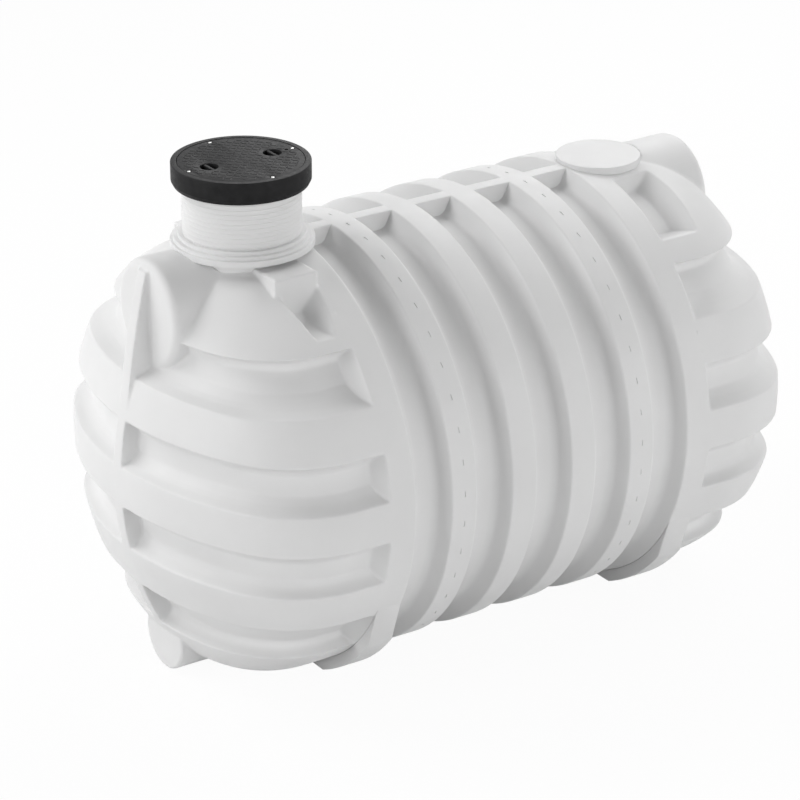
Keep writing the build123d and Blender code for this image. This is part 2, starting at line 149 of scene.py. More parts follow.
# The floor, the background and the softboxes, in metres and watts
FLOOR_SPAN = 80
FLOOR_DROP = 0.002
FLOOR_TONE = (0.86, 0.86, 0.86, 1)
FLOOR_GLOW = 0.95           # how much of the floor's look is plain white, to the camera
BACKGROUND_TONE = (1, 1, 1, 1)
ROOM_LIGHT = 0.02           # how strongly the background lights the tank
SOFTBOX_WIDTH = 7.0
SOFTBOX_HEIGHT = 6.0
SOFTBOX_AIM = (0, 0, 1.0)
SOFTBOXES = (
    ("left_softbox", (-11.6, 0.0, 4.1), 560),
    ("front_softbox", (0.0, -11.6, 4.1), 530),
    ("right_low_softbox", (8.4, -8.4, 3.1), 230),
    ("right_high_softbox", (8.5, 0.0, 9.5), 430),
    ("back_left_softbox", (-6.5, 6.5, 8.7), 800),
    ("back_right_softbox", (6.5, 6.5, 8.7), 530),
    ("top_softbox", (0.0, 0.0, 13.0), 60),
)

WHITE = "white_polyethylene"
BLACK = "black_polymer"
STEEL = "stainless_steel"
FINISHES = {}

END_NODES = ["dome", "band_1", "band_2", "band_3", "crown", "belly", "pipe_boss", "drain_boss", "web"]


# Properties

class TankShapeSettings(bpy.types.PropertyGroup):
    """Sizes of the moulded forms that the finish adds to the CAD model"""
    rib_half_width: bpy.props.FloatProperty(
        name="Rib half width", description="Half the width of a rib's flat",
        default=0.062, unit="LENGTH")
    wall_run: bpy.props.FloatProperty(
        name="Wall run", description="Width of the sloped wall between rib and trough",
        default=0.040, unit="LENGTH")
    rib_edge: bpy.props.FloatProperty(
        name="Rib edge radius", description="Rounding of the ribs' outer edges",
        default=0.012, unit="LENGTH")
    trough_corner: bpy.props.FloatProperty(
        name="Trough corner radius", description="Rounding where the walls meet a trough",
        default=0.045, unit="LENGTH")
    seam_inset: bpy.props.FloatProperty(
        name="Seam", description="Distance from an end rib's middle to where ends and barrel meet",
        default=0.045, unit="LENGTH")
    skin: bpy.props.FloatProperty(
        name="Skin thickness", description="Thickness of the moulded wall",
        default=0.010, unit="LENGTH")
    grain: bpy.props.FloatProperty(
        name="Remesh size", description="Grid size for the merged ends", default=0.0065, unit="LENGTH")
    softening: bpy.props.IntProperty(
        name="Edge softening", description="Smoothing passes over the merged ends",
        default=2, min=0, max=20)
    keep_share: bpy.props.FloatProperty(
        name="Kept share", description="Share of the merged ends' faces that is kept",
        default=0.27, subtype="FACTOR")
    spin_steps: bpy.props.IntProperty(
        name="Spin steps", description="Facets round the barrel", default=192, min=32, max=360)
    mark_count: bpy.props.IntProperty(
        name="Rib marks", description="Marks round a marked rib", default=43, min=4, max=90)
    mark_length: bpy.props.FloatProperty(
        name="Mark length", description="Length of a sunk mark", default=0.026, unit="LENGTH")
    mark_width: bpy.props.FloatProperty(
        name="Mark width", description="Width of a sunk mark", default=0.007, unit="LENGTH")
    mark_depth: bpy.props.FloatProperty(
        name="Mark depth", description="How deep a mark is sunk", default=0.003, unit="LENGTH")
    spine_edge: bpy.props.FloatProperty(
        name="Spine edge radius", description="Rounding along the crest spine",
        default=0.006, unit="LENGTH")
    foot_edge: bpy.props.FloatProperty(
        name="Foot edge radius", description="Rounding of the feet's edges",
        default=0.005, unit="LENGTH")


class NeckSettings(bpy.types.PropertyGroup):
    """Sizes of the riser's ridges and of the cover's details"""
    ridge_pitch: bpy.props.FloatProperty(
        name="Ridge pitch", description="Distance between the riser's ridges",
        default=0.021, unit="LENGTH")
    ridge_height: bpy.props.FloatProperty(
        name="Ridge height", description="How far a ridge stands out", default=0.0014, unit="LENGTH")
    collar_edge: bpy.props.FloatProperty(
        name="Collar edge radius", description="Rounding of the collar's steps",
        default=0.003, unit="LENGTH")
    flange_depth: bpy.props.FloatProperty(
        name="Flange depth", description="How far the flange's rim reaches below the collar's top",
        default=0.058, unit="LENGTH")
    cover_edge: bpy.props.FloatProperty(
        name="Cover edge radius", description="Rounding of the cover's rim",
        default=0.005, unit="LENGTH")
    pad_edge: bpy.props.FloatProperty(
        name="Pad edge radius", description="Rounding of the rear pad", default=0.005, unit="LENGTH")
    grip_length: bpy.props.FloatProperty(
        name="Grip bar length", description="Length of a raised bar on the lid",
        default=0.024, unit="LENGTH")
    grip_width: bpy.props.FloatProperty(
        name="Grip bar width", description="Width of a raised bar on the lid",
        default=0.007, unit="LENGTH")
    grip_height: bpy.props.FloatProperty(
        name="Grip bar height", description="Height of a raised bar on the lid",
        default=0.0013, unit="LENGTH")
    grip_pitch: bpy.props.FloatProperty(
        name="Grip pitch", description="Distance between rows of bars", default=0.023, unit="LENGTH")
    hand_hole_radius: bpy.props.FloatProperty(
        name="Hand hole radius", description="Radius of the recesses for lifting the lid",
        default=0.041, unit="LENGTH")
    hand_hole_offset: bpy.props.FloatProperty(
        name="Hand hole offset", description="Distance of the recesses from the lid's middle",
        default=0.156, unit="LENGTH")
    screw_circle: bpy.props.FloatProperty(
        name="Screw circle", description="Distance of the screws from the lid's middle",
        default=0.256, unit="LENGTH")


class FinishSettings(bpy.types.PropertyGroup):
    """Colours of the finishes"""
    white: bpy.props.FloatVectorProperty(
        name="White", description="Natural white polyethylene", default=(0.71, 0.71, 0.71, 1), size=4,
        subtype="COLOR", min=0, max=1)
    black: bpy.props.FloatVectorProperty(
        name="Black", description="Black moulded cover", default=(0.013, 0.013, 0.0135, 1), size=4,
        subtype="COLOR", min=0, max=1)
    steel: bpy.props.FloatVectorProperty(
        name="Steel", description="Stainless screws", default=(0.62, 0.62, 0.61, 1), size=4,
        subtype="COLOR", min=0, max=1)


# Making meshes by hand

def clear_selection():
    """Leave edit mode with nothing selected."""
    if bpy.context.mode != "OBJECT":
        bpy.ops.object.mode_set(mode="OBJECT")
    bpy.ops.object.select_all(action="DESELECT")


def pick(*objects):
    """Select just these objects; the first is the active one."""
    clear_selection()
    for item in objects:
        item.select_set(True)
    bpy.context.view_layer.objects.active = objects[0]
    return objects[0]


def named(name):
    """Name the active object and its mesh."""
    piece = bpy.context.object
    piece.name = name
    piece.data.name = name
    return piece


def applied(piece, kind, **settings):
    """Add a modifier with its settings and apply it."""
    pick(piece)
    modifier = piece.modifiers.new(kind.title(), kind)
    for key, value in settings.items():
        setattr(modifier, key, value)
    bpy.ops.object.modifier_apply(modifier=modifier.name)
    return piece


def bevelled(piece, width, segments, angle):
    """Round the edges that are sharper than an angle."""
    return applied(piece, "BEVEL", width=width, segments=segments, limit_method="ANGLE", angle_limit=angle)


def in_edit(piece, select="SELECT"):
    """Enter edit mode on a piece, with everything selected or not."""
    pick(piece)
    bpy.ops.object.mode_set(mode="EDIT")
    bpy.ops.mesh.select_mode(type="VERT")
    bpy.ops.mesh.select_all(action=select)


def out_of_edit():
    bpy.ops.object.mode_set(mode="OBJECT")


def node_copies(names, name):
    """Copies of CAD nodes, joined and merged into one mesh."""
    copies = []
    for node in names:
        source = frame["nodes"][node]
        copy = source.copy()
        copy.data = source.data.copy()
        copy.parent = None
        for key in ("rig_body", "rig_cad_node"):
            if key in copy:
                del copy[key]
        copy.data.materials.clear()
        bpy.context.scene.collection.objects.link(copy)
        copies.append(copy)
    pick(*copies)
    if len(copies) > 1:
        bpy.ops.object.join()
    piece = named(name)
    in_edit(piece)
    bpy.ops.mesh.remove_doubles(threshold=0.00001)
    out_of_edit()
    return piece


def rounded(points, radii, segments):
    """Points of a profile with its corners rounded by arcs."""
    line = []
    for index, (point, radius) in enumerate(zip(points, radii)):
        here = Vector(point)
        if radius == 0 or index in (0, len(points) - 1):
            line.append(here)
            continue
        back = (Vector(points[index - 1]) - here).normalized()
        ahead = (Vector(points[index + 1]) - here).normalized()
        half = back.angle(ahead) / 2
        reach = radius / tan(half)
        centre = here + (back + ahead).normalized() * (radius / sin(half))
        start = (here + back * reach - centre).normalized()
        end = (here + ahead * reach - centre).normalized()
        for step in range(segments + 1):
            line.append(centre + start.slerp(end, step / segments) * radius)
    return line


def profile_object(name, line, place):
    """A wire of extruded vertices along a profile; place turns a profile point into a 3-D one."""
    clear_selection()
    bpy.ops.mesh.primitive_plane_add(size=0.01)
    piece = named(name)
    in_edit(piece)
    bpy.ops.mesh.merge(type="CENTER")
    points = [place(point) for point in line]
    bpy.ops.transform.translate(value=points[0])
    for before, after in zip(points, points[1:]):
        bpy.ops.mesh.extrude_vertices_move(TRANSFORM_OT_translate={"value": after - before})
    bpy.ops.mesh.select_all(action="SELECT")
    return piece


def spun(name, line, place, centre, axis, steps, closed=False):
    """A profile spun all the way round an axis into a surface."""
    piece = profile_object(name, line, place)
    if closed:
        bpy.ops.mesh.select_all(action="SELECT")
        bpy.ops.mesh.remove_doubles(threshold=0.00001)
    bpy.ops.mesh.spin(steps=steps, angle=2 * pi, center=centre, axis=axis)
    bpy.ops.mesh.select_all(action="SELECT")
    bpy.ops.mesh.remove_doubles(threshold=0.00002)
    bpy.ops.mesh.normals_make_consistent(inside=False)
    out_of_edit()
    return piece


def cut_out(piece, *cutters):
    """Cut other objects out of a piece and remove them."""
    for cutter in cutters:
        applied(piece, "BOOLEAN", operation="DIFFERENCE", object=cutter, solver="EXACT")
        pick(cutter)
        bpy.ops.object.delete()
    return piece


def copied(source, place, turn=0.0):
    """A copy of a piece with its own mesh, turned about the vertical and put in its place."""
    copy = source.copy()
    copy.data = source.data.copy()
    copy.matrix_world = Matrix.Translation(place) @ Matrix.Rotation(turn, 4, "Z")
    bpy.context.scene.collection.objects.link(copy)
    return copy


def joined(name, pieces):
    """Several pieces as one object under a name."""
    pick(*pieces)
    if len(pieces) > 1:
        bpy.ops.object.join()
    return named(name)


def column(name, place, radius, low, high, vertices=64):
    """An upright cylinder between two heights."""
    clear_selection()
    bpy.ops.mesh.primitive_cylinder_add(
        vertices=vertices, radius=radius, depth=high - low, location=(place[0], place[1], (low + high) / 2))
    piece = named(name)
    bpy.ops.object.transform_apply(location=True, rotation=True, scale=True)
    return piece


def neck_place(point):
    """A profile point, radius and height, beside the neck's axis."""
    return Vector((NECK_X + point.x, 0, point.y))


def settle(piece, material, angle=radians(38)):
    """Put a piece's place in its mesh, shade it, give it its finish and let it ride."""
    pick(piece)
    bpy.ops.object.transform_apply(location=True, rotation=True, scale=True)
    bpy.ops.object.shade_smooth_by_angle(angle=angle)
    piece.data.materials.clear()
    piece.data.materials.append(material)
    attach(piece, "root")
    return piece


# Finishes

def fresh_material(name):
    """A node material with just its shader and output."""
    material = bpy.data.materials.get(name) or bpy.data.materials.new(name)
    material.use_nodes = True
    nodes = material.node_tree.nodes
    nodes.clear()
    output = nodes.new("ShaderNodeOutputMaterial")
    shader = nodes.new("ShaderNodeBsdfPrincipled")
    material.node_tree.links.new(shader.outputs["BSDF"], output.inputs["Surface"])
    return material, nodes, material.node_tree.links, shader


def noise(nodes, links, scale, detail=3.0, roughness=0.5):
    """Noise on object coordinates, with features per metre as its scale."""
    place = nodes.new("ShaderNodeTexCoord")
    texture = nodes.new("ShaderNodeTexNoise")
    texture.inputs["Scale"].default_value = scale
    texture.inputs["Detail"].default_value = detail
    texture.inputs["Roughness"].default_value = roughness
    links.new(place.outputs["Object"], texture.inputs["Vector"])
    return texture.outputs["Fac"]


def ramp(nodes, links, source, low, high, start=0.3, end=0.7):
    """Blend of two colours along a value."""
    blend = nodes.new("ShaderNodeValToRGB")
    blend.color_ramp.elements[0].position = start
    blend.color_ramp.elements[1].position = end
    blend.color_ramp.elements[0].color = low
    blend.color_ramp.elements[1].color = high
    links.new(source, blend.inputs["Fac"])
    return blend.outputs["Color"]


def spread(nodes, links, source, low, high):
    """A value from noise, stretched to a range."""
    mapped = nodes.new("ShaderNodeMapRange")
    mapped.inputs["From Min"].default_value = 0.3
    mapped.inputs["From Max"].default_value = 0.7
    mapped.inputs["To Min"].default_value = low
    mapped.inputs["To Max"].default_value = high
    links.new(source, mapped.inputs["Value"])
    return mapped.outputs["Result"]


def bump(nodes, links, source, distance, strength, normal=None):
    """A bump from a height, on top of another."""
    relief = nodes.new("ShaderNodeBump")
    relief.inputs["Distance"].default_value = distance
    relief.inputs["Strength"].default_value = strength
    links.new(source, relief.inputs["Height"])
    if normal is not None:
        links.new(normal, relief.inputs["Normal"])
    return relief.outputs["Normal"]


def shade(colour, factor):
    """A colour made a little darker or lighter."""
    return tuple(min(1.0, channel * factor) for channel in colour[:3]) + (1.0,)


def polyethylene_finish(finish):
    """Moulded natural white polyethylene: soft cloudy tone and a fine orange-peel surface."""
    material, nodes, links, shader = fresh_material(WHITE)
    white = tuple(finish.white)
    cloud = noise(nodes, links, 2.3, detail=4.0)
    links.new(ramp(nodes, links, cloud, shade(white, 0.972), shade(white, 1.02)), shader.inputs["Base Color"])
    links.new(spread(nodes, links, noise(nodes, links, 14.0), 0.46, 0.60), shader.inputs["Roughness"])
    waves = bump(nodes, links, noise(nodes, links, 9.0, detail=1.0), 0.004, 0.10)
    peel = bump(nodes, links, noise(nodes, links, 260.0, detail=2.0), 0.0006, 0.35, waves)
    links.new(peel, shader.inputs["Normal"])
    shader.inputs["IOR"].default_value = 1.5
    shader.inputs["Specular IOR Level"].default_value = 0.3
    return material


def polymer_finish(finish):
    """Black moulded cover: grained, with a dull sheen."""
    material, nodes, links, shader = fresh_material(BLACK)
    black = tuple(finish.black)
    tone = noise(nodes, links, 30.0, detail=4.0)
    links.new(ramp(nodes, links, tone, shade(black, 0.8), shade(black, 1.35)), shader.inputs["Base Color"])
    links.new(spread(nodes, links, noise(nodes, links, 60.0), 0.42, 0.56), shader.inputs["Roughness"])
    grain = bump(nodes, links, noise(nodes, links, 700.0, detail=2.0), 0.0005, 0.5)
    links.new(grain, shader.inputs["Normal"])
    shader.inputs["Specular IOR Level"].default_value = 0.09
    return material


def steel_finish(finish):
    """Stainless screw heads, finely scratched."""
    material, nodes, links, shader = fresh_material(STEEL)
    steel = tuple(finish.steel)
    tone = noise(nodes, links, 220.0)
    links.new(ramp(nodes, links, tone, shade(steel, 0.88), shade(steel, 1.08)), shader.inputs["Base Color"])
    links.new(spread(nodes, links, noise(nodes, links, 900.0), 0.22, 0.36), shader.inputs["Roughness"])
    shader.inputs["Metallic"].default_value = 1.0
    return material


def finish_for(slot):
    """The material of a slot, made once."""
    made = {WHITE: polyethylene_finish, BLACK: polymer_finish, STEEL: steel_finish}
    if slot not in FINISHES:
        FINISHES[slot] = made[slot](bpy.context.scene.tank_finish)
    return FINISHES[slot]


class TANK_OT_end_skins(bpy.types.Operator):
    """Merge each domed end's solids into one moulded body with soft edges"""
    bl_idname = "tank.end_skins"
    bl_label = "Domed ends"

    def execute(self, context):
        shape = context.scene.tank_shape
        for side, end, rib in ((-1, "front", 1), (1, "rear", 6)):
            nodes = [end + "_" + part for part in END_NODES] + ["hoop_rib_%d" % rib]
            if side < 0:
                nodes += ["neck_lug_left", "neck_lug_right"]
            skin = node_copies(nodes, end + "_end_skin")
            middle = RIB_CENTRES[rib - 1]
            seam = middle - side * shape.seam_inset
            clear_selection()
            bpy.ops.mesh.primitive_cylinder_add(
                vertices=64, radius=TROUGH_RADIUS - PLUG_GAP, depth=PLUG_DEPTH,
                location=(middle + side * PLUG_SHIFT, 0, AXIS_HEIGHT), rotation=(0, pi / 2, 0))
            plug = bpy.context.object
            fillers = [plug]
            if side < 0:
                bpy.ops.mesh.primitive_cylinder_add(
                    vertices=48, radius=FILLER_RADIUS, depth=FILLER_DEPTH,
                    location=(NECK_X, 0, COLLAR_HIGH.z - FILLER_DROP - FILLER_DEPTH / 2))
                fillers.append(bpy.context.object)
            pick(skin, *fillers)
            bpy.ops.object.join()
            applied(skin, "REMESH", mode="VOXEL", voxel_size=shape.grain, adaptivity=0.0)
            applied(skin, "SMOOTH", factor=0.5, iterations=shape.softening)
            applied(skin, "DECIMATE", ratio=shape.keep_share)
            for vertex in skin.data.vertices:
                spot = vertex.co
                reach = Vector((spot.y, spot.z - AXIS_HEIGHT)).length
                on_flat = side * (spot.x - middle) < shape.rib_half_width
                if abs(reach - TANK_RADIUS) < SNAP_REACH and on_flat:
                    spot.y *= TANK_RADIUS / reach
                    spot.z = AXIS_HEIGHT + (spot.z - AXIS_HEIGHT) * TANK_RADIUS / reach
                spot.z = max(spot.z, 0.0)
            in_edit(skin)
            bpy.ops.mesh.bisect(plane_co=(seam, 0, 0), plane_no=(side, 0, 0), clear_inner=True)
            out_of_edit()
            self.keep_outside(skin, side)
            settle(skin, finish_for(WHITE), radians(60))
            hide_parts(*nodes)
        return {"FINISHED"}

    def keep_outside(self, skin, side):
        """Remove the surfaces shut up inside an end, and close its outer one at the seam."""
        places = [side * vertex.co.x for vertex in skin.data.vertices]
        outermost = places.index(max(places))
        in_edit(skin, select="DESELECT")
        out_of_edit()
        skin.data.vertices[outermost].select = True
        bpy.ops.object.mode_set(mode="EDIT")
        bpy.ops.mesh.select_linked()
        bpy.ops.mesh.select_all(action="INVERT")
        bpy.ops.mesh.delete(type="VERT")
        bpy.ops.mesh.select_all(action="SELECT")
        bpy.ops.mesh.fill_holes(sides=0)
        bpy.ops.mesh.normals_make_consistent(inside=False)
        out_of_edit()


class TANK_OT_barrel(bpy.types.Operator):
    """Spin the ribbed barrel between its seams on the end ribs"""
    bl_idname = "tank.barrel"
    bl_label = "Ribbed barrel"

    def execute(self, context):
        shape = context.scene.tank_shape
        points = [(RIB_CENTRES[0] + shape.seam_inset, TANK_RADIUS)]
        radii = [0]
        for index, centre in enumerate(RIB_CENTRES):
            if index > 0:
                points += [(centre - shape.rib_half_width - shape.wall_run, TROUGH_RADIUS),
                           (centre - shape.rib_half_width, TANK_RADIUS)]
                radii += [shape.trough_corner, shape.rib_edge]
            if index < len(RIB_CENTRES) - 1:
                points += [(centre + shape.rib_half_width, TANK_RADIUS),
                           (centre + shape.rib_half_width + shape.wall_run, TROUGH_RADIUS)]
                radii += [shape.rib_edge, shape.trough_corner]
        points.append((RIB_CENTRES[-1] - shape.seam_inset, TANK_RADIUS))
        radii.append(0)
        line = rounded(points, radii, 6)
        barrel = spun(
            "barrel_skin", line, lambda p: Vector((p.x, 0, AXIS_HEIGHT + p.y)),
            (0, 0, AXIS_HEIGHT), (1, 0, 0), shape.spin_steps)
        for vertex in barrel.data.vertices:
            vertex.co.z = max(vertex.co.z, 0.0)
        applied(barrel, "SOLIDIFY", thickness=shape.skin, offset=-1.0)
        cut_out(barrel, self.marks(shape))
        settle(barrel, finish_for(WHITE))
        ribs = ["hoop_rib_%d" % number for number in range(2, 6)]
        troughs = ["barrel_trough_%d" % number for number in range(1, 6)]
        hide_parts(*ribs, *troughs)
        return {"FINISHED"}

    def marks(self, shape):
        """Bars that sink rows of marks into the second and the fifth rib, except along the keel."""
        clear_selection()
        bpy.ops.mesh.primitive_cube_add(size=1)
        first = named("mark_cutter")
        first.scale = (shape.mark_width, shape.mark_length, 2 * shape.mark_depth)
        bpy.ops.object.transform_apply(location=False, rotation=False, scale=True)
        out = Matrix.Translation((0, 0, TANK_RADIUS))
        tilt = Matrix.Rotation(MARK_TILT, 4, "Z")
        bars = []
        for rib in (1, 4):
            middle = Matrix.Translation((RIB_CENTRES[rib], 0, AXIS_HEIGHT))
            for step in range(shape.mark_count):
                angle = 2 * pi * (step + 0.5) / shape.mark_count
                if cos(angle) < KEEL_COSINE:
                    continue
                bar = copied(first, (0, 0, 0))
                bar.matrix_world = middle @ Matrix.Rotation(-angle, 4, "X") @ out @ tilt
                bars.append(bar)
        pick(first)
        bpy.ops.object.delete()
        cutter = joined("mark_cutters", bars)
        bpy.ops.object.transform_apply(location=True, rotation=True, scale=True)
        return cutter


class TANK_OT_crest(bpy.types.Operator):
    """Run a rounded spine along the crest, and soften the feet and the rear pad"""
    bl_idname = "tank.crest"
    bl_label = "Spine, feet and pad"

    def execute(self, context):
        shape = context.scene.tank_shape
        neck = context.scene.tank_neck
        half = (SPINE_HIGH.y - SPINE_LOW.y) / 2
        top = TANK_RADIUS - SPINE_SINK
        shoulder = top - SPINE_CROWN
        low = TROUGH_RADIUS - shape.skin
        points = [(-half, low), (-half, shoulder), (0, top), (half, shoulder), (half, low)]
        line = rounded(points, [0, shape.spine_edge, 0, shape.spine_edge, 0], 5)
        start = RIB_CENTRES[0] + SPINE_INSET
        length = RIB_CENTRES[-1] - SPINE_INSET - start
        spine = profile_object("crest_bar", line, lambda p: Vector((start, p.x, AXIS_HEIGHT + p.y)))
        bpy.ops.mesh.edge_face_add()
        bpy.ops.mesh.extrude_region_move(TRANSFORM_OT_translate={"value": (length, 0, 0)})
        bpy.ops.mesh.select_all(action="SELECT")
        bpy.ops.mesh.normals_make_consistent(inside=False)
        out_of_edit()
        settle(spine, finish_for(WHITE))
        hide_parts("crest_spine")

        for end in ("front", "rear"):
            foot = node_copies(["foot_" + end], end + "_foot_soft")
            bevelled(foot, shape.foot_edge, 3, radians(40))
            settle(foot, finish_for(WHITE))
            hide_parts("foot_" + end)

        middle = ((PAD_LOW.x + PAD_HIGH.x) / 2, 0)
        radius = (PAD_HIGH.x - PAD_LOW.x) / 2
        pad = column("rear_pad_disc", middle, radius, PAD_LOW.z, PAD_HIGH.z, 128)
        bevelled(pad, neck.pad_edge, 4, radians(40))
        settle(pad, finish_for(WHITE))
        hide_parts("rear_neck_pad")
        return {"FINISHED"}


class TANK_OT_riser(bpy.types.Operator):
    """Spin the riser shaft with its fine level ridges"""
    bl_idname = "tank.riser"
    bl_label = "Riser shaft"

    def execute(self, context):
        neck = context.scene.tank_neck
        low = RISER_LOW.z
        high = RISER_HIGH.z
        outer = RISER_RADIUS
        inner = outer - RISER_WALL
        ridge = outer + neck.ridge_height
        half = neck.ridge_pitch * RIDGE_HALF_SHARE
        flat = half * RIDGE_TOP_SHARE
        count = int((high - low) / neck.ridge_pitch)
        points = [(outer, low)]
        for index in range(1, count):
            level = low + index * neck.ridge_pitch
            points += [
                (outer, level - half), (ridge, level - flat), (ridge, level + flat), (outer, level + half),
            ]
        points += [(outer, high), (inner, high), (inner, low), (outer, low)]
        riser = spun(
            "riser_ridged", [Vector(p) for p in points], neck_place,
            (NECK_X, 0, 0), (0, 0, 1), 128, closed=True)
        settle(riser, finish_for(WHITE), radians(30))
        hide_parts("riser_shaft")
        return {"FINISHED"}


class TANK_OT_collar(bpy.types.Operator):
    """Spin the stepped neck collar with rounded edges"""
    bl_idname = "tank.collar"
    bl_label = "Neck collar"

    def execute(self, context):
        neck = context.scene.tank_neck
        top = COLLAR_HIGH.z
        low = COLLAR_LOW.z
        edge = neck.collar_edge
        bore = RISER_RADIUS + COLLAR_FIT
        wall = FLANGE_RADIUS - FLANGE_OVERHANG
        rim_foot = top - neck.flange_depth
        rim_top = top - FLANGE_DROP
        step_top = top - STEP_DROP
        points = [
            (bore, low), (wall, low), (wall, rim_foot), (FLANGE_RADIUS, rim_foot), (FLANGE_RADIUS, rim_top),
            (bore + LOWER_STEP, rim_top), (bore + LOWER_STEP, step_top), (bore + UPPER_STEP, step_top),
            (bore + UPPER_STEP, top), (bore, top), (bore, low),
        ]
        line = rounded(points, [0, 0, COLLAR_ROOT] + [edge] * 6 + [0, 0], 3)
        collar = spun(
            "neck_collar_turned", line, neck_place, (NECK_X, 0, 0), (0, 0, 1), 144, closed=True)
        settle(collar, finish_for(WHITE))
        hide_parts("neck_collar")
        return {"FINISHED"}


class TANK_OT_cover(bpy.types.Operator):
    """Make the cover: its rim, the lid with grip pattern and hand holes, and the screws"""
    bl_idname = "tank.cover"
    bl_label = "Cover"

    def execute(self, context):
        neck = context.scene.tank_neck
        edge = neck.cover_edge
        top = COVER_HIGH.z
        low = COVER_LOW.z
        seat = LID_LOW.z
        inner = LID_RADIUS + LID_GAP
        shoulder = RISER_RADIUS - RISER_WALL
        bore = RISER_RADIUS + COVER_FIT
        points = [
            (inner, top), (inner, seat), (shoulder, seat), (shoulder, RISER_HIGH.z), (bore, RISER_HIGH.z),
            (bore, low), (COVER_RADIUS - COVER_TAPER, low), (COVER_RADIUS, low + COVER_TAPER_HEIGHT),
            (COVER_RADIUS, top), (inner, top),
        ]
        line = rounded(points, [0] * 6 + [edge] * 3 + [0], 4)
        rim = spun("cover_rim", line, neck_place, (NECK_X, 0, 0), (0, 0, 1), 144, closed=True)
        settle(rim, finish_for(BLACK))
        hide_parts("cover_frame")
        self.lid_and_screws(neck, seat)
        return {"FINISHED"}

    def lid_and_screws(self, neck, seat):
        """The lid plate with its holes, handles and grips, and the screws that hold it."""
        plate_top = LID_HIGH.z - neck.grip_height
        lid = column("lid_plate", (NECK_X, 0), LID_RADIUS - LID_FIT, seat, plate_top, 144)
        holes = [(NECK_X + side * neck.hand_hole_offset, 0) for side in (-1, 1)]
        small = (NECK_X + SMALL_HOLE_OFFSET, 0.0)
        screws = []
        for step in range(4):
            angle = step * pi / 2
            screws.append((NECK_X + neck.screw_circle * cos(angle), neck.screw_circle * sin(angle)))
        above = plate_top + CUT_MARGIN
        cutters = [
            column("hand_hole", hole, neck.hand_hole_radius, plate_top - HAND_HOLE_DEPTH, above, 48)
            for hole in holes
        ]
        cutters.append(
            column("small_hole", small, SMALL_HOLE_RADIUS, plate_top - SMALL_HOLE_DEPTH, above, 24))
        cutters += [
            column("counterbore", screw, COUNTERBORE_RADIUS, plate_top - COUNTERBORE_DEPTH, above, 32)
            for screw in screws
        ]
        cut_out(lid, *cutters)
        bevelled(lid, LID_EDGE, 2, radians(50))
        parts = [lid]
        for hole in holes:
            clear_selection()
            bpy.ops.mesh.primitive_cube_add(size=1, location=(hole[0], hole[1], plate_top - HANDLE_DROP))
            bar = bpy.context.object
            bar.scale = (HANDLE_WIDTH, 2 * neck.hand_hole_radius + HANDLE_OVERLAP, HANDLE_HEIGHT)
            bpy.ops.object.transform_apply(location=True, rotation=True, scale=True)
            parts.append(applied(bar, "BEVEL", width=HANDLE_EDGE, segments=2))
        parts += self.grips(neck, plate_top, holes + [small] + screws)
        lid = joined("lid_plate", parts)
        settle(lid, finish_for(BLACK))
        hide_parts("cover_lid")

        first = column("screw", (0, 0), SCREW_RADIUS, -SCREW_DEPTH, 0.0, 24)
        bevelled(first, SCREW_EDGE, 2, radians(60))
        cut_out(first, column("socket", (0, 0), SOCKET_RADIUS, -SOCKET_DEPTH, CUT_MARGIN, 6))
        heads = [copied(first, (screw[0], screw[1], plate_top + SCREW_LIFT)) for screw in screws]
        pick(first)
        bpy.ops.object.delete()
        heads = joined("screw_heads", heads)
        settle(heads, finish_for(STEEL))
        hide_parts("lid_screws")

    def grips(self, neck, level, holes):
        """Raised bars over the lid in alternate directions, clear of its holes and its edge."""
        clear_selection()
        bpy.ops.mesh.primitive_cube_add(size=1)
        first = named("grip")
        first.scale = (neck.grip_length, neck.grip_width, 2 * neck.grip_height)
        bpy.ops.object.transform_apply(location=False, rotation=False, scale=True)
        for vertex in first.data.vertices:
            if vertex.co.z > 0:
                vertex.co.x *= GRIP_TOP_LENGTH
                vertex.co.y *= GRIP_TOP_WIDTH
        clear = [neck.hand_hole_radius] * 2 + [SMALL_HOLE_RADIUS] + [COUNTERBORE_RADIUS] * 4
        spaces = [(hole, radius + GRIP_CLEARANCE) for hole, radius in zip(holes, clear)]
        bars = []
        reach = int(LID_RADIUS / neck.grip_pitch) + 1
        for row in range(-reach, reach + 1):
            for item in range(-reach, reach + 1):
                x = NECK_X + item * neck.grip_pitch
                y = row * neck.grip_pitch
                if Vector((x - NECK_X, y)).length > LID_RADIUS - GRIP_BORDER:
                    continue
                if any(Vector((x - hole[0], y - hole[1])).length < space for hole, space in spaces):
                    continue
                turn = radians(45) if (row + item) % 2 else radians(-45)
                bars.append(copied(first, (x, y, level), turn))
        pick(first)
        bpy.ops.object.delete()
        return bars


class TANK_OT_carried_nodes(bpy.types.Operator):
    """Give the CAD nodes that stay in view, all of them white, their finish"""
    bl_idname = "tank.carried_nodes"
    bl_label = "Finishes on CAD nodes"

    def execute(self, context):
        material = finish_for(WHITE)
        for node in frame["nodes"].values():
            if node.hide_render:
                continue
            if not node.material_slots:
                node.data.materials.append(material)
            for place in node.material_slots:
                place.material = material
        return {"FINISHED"}


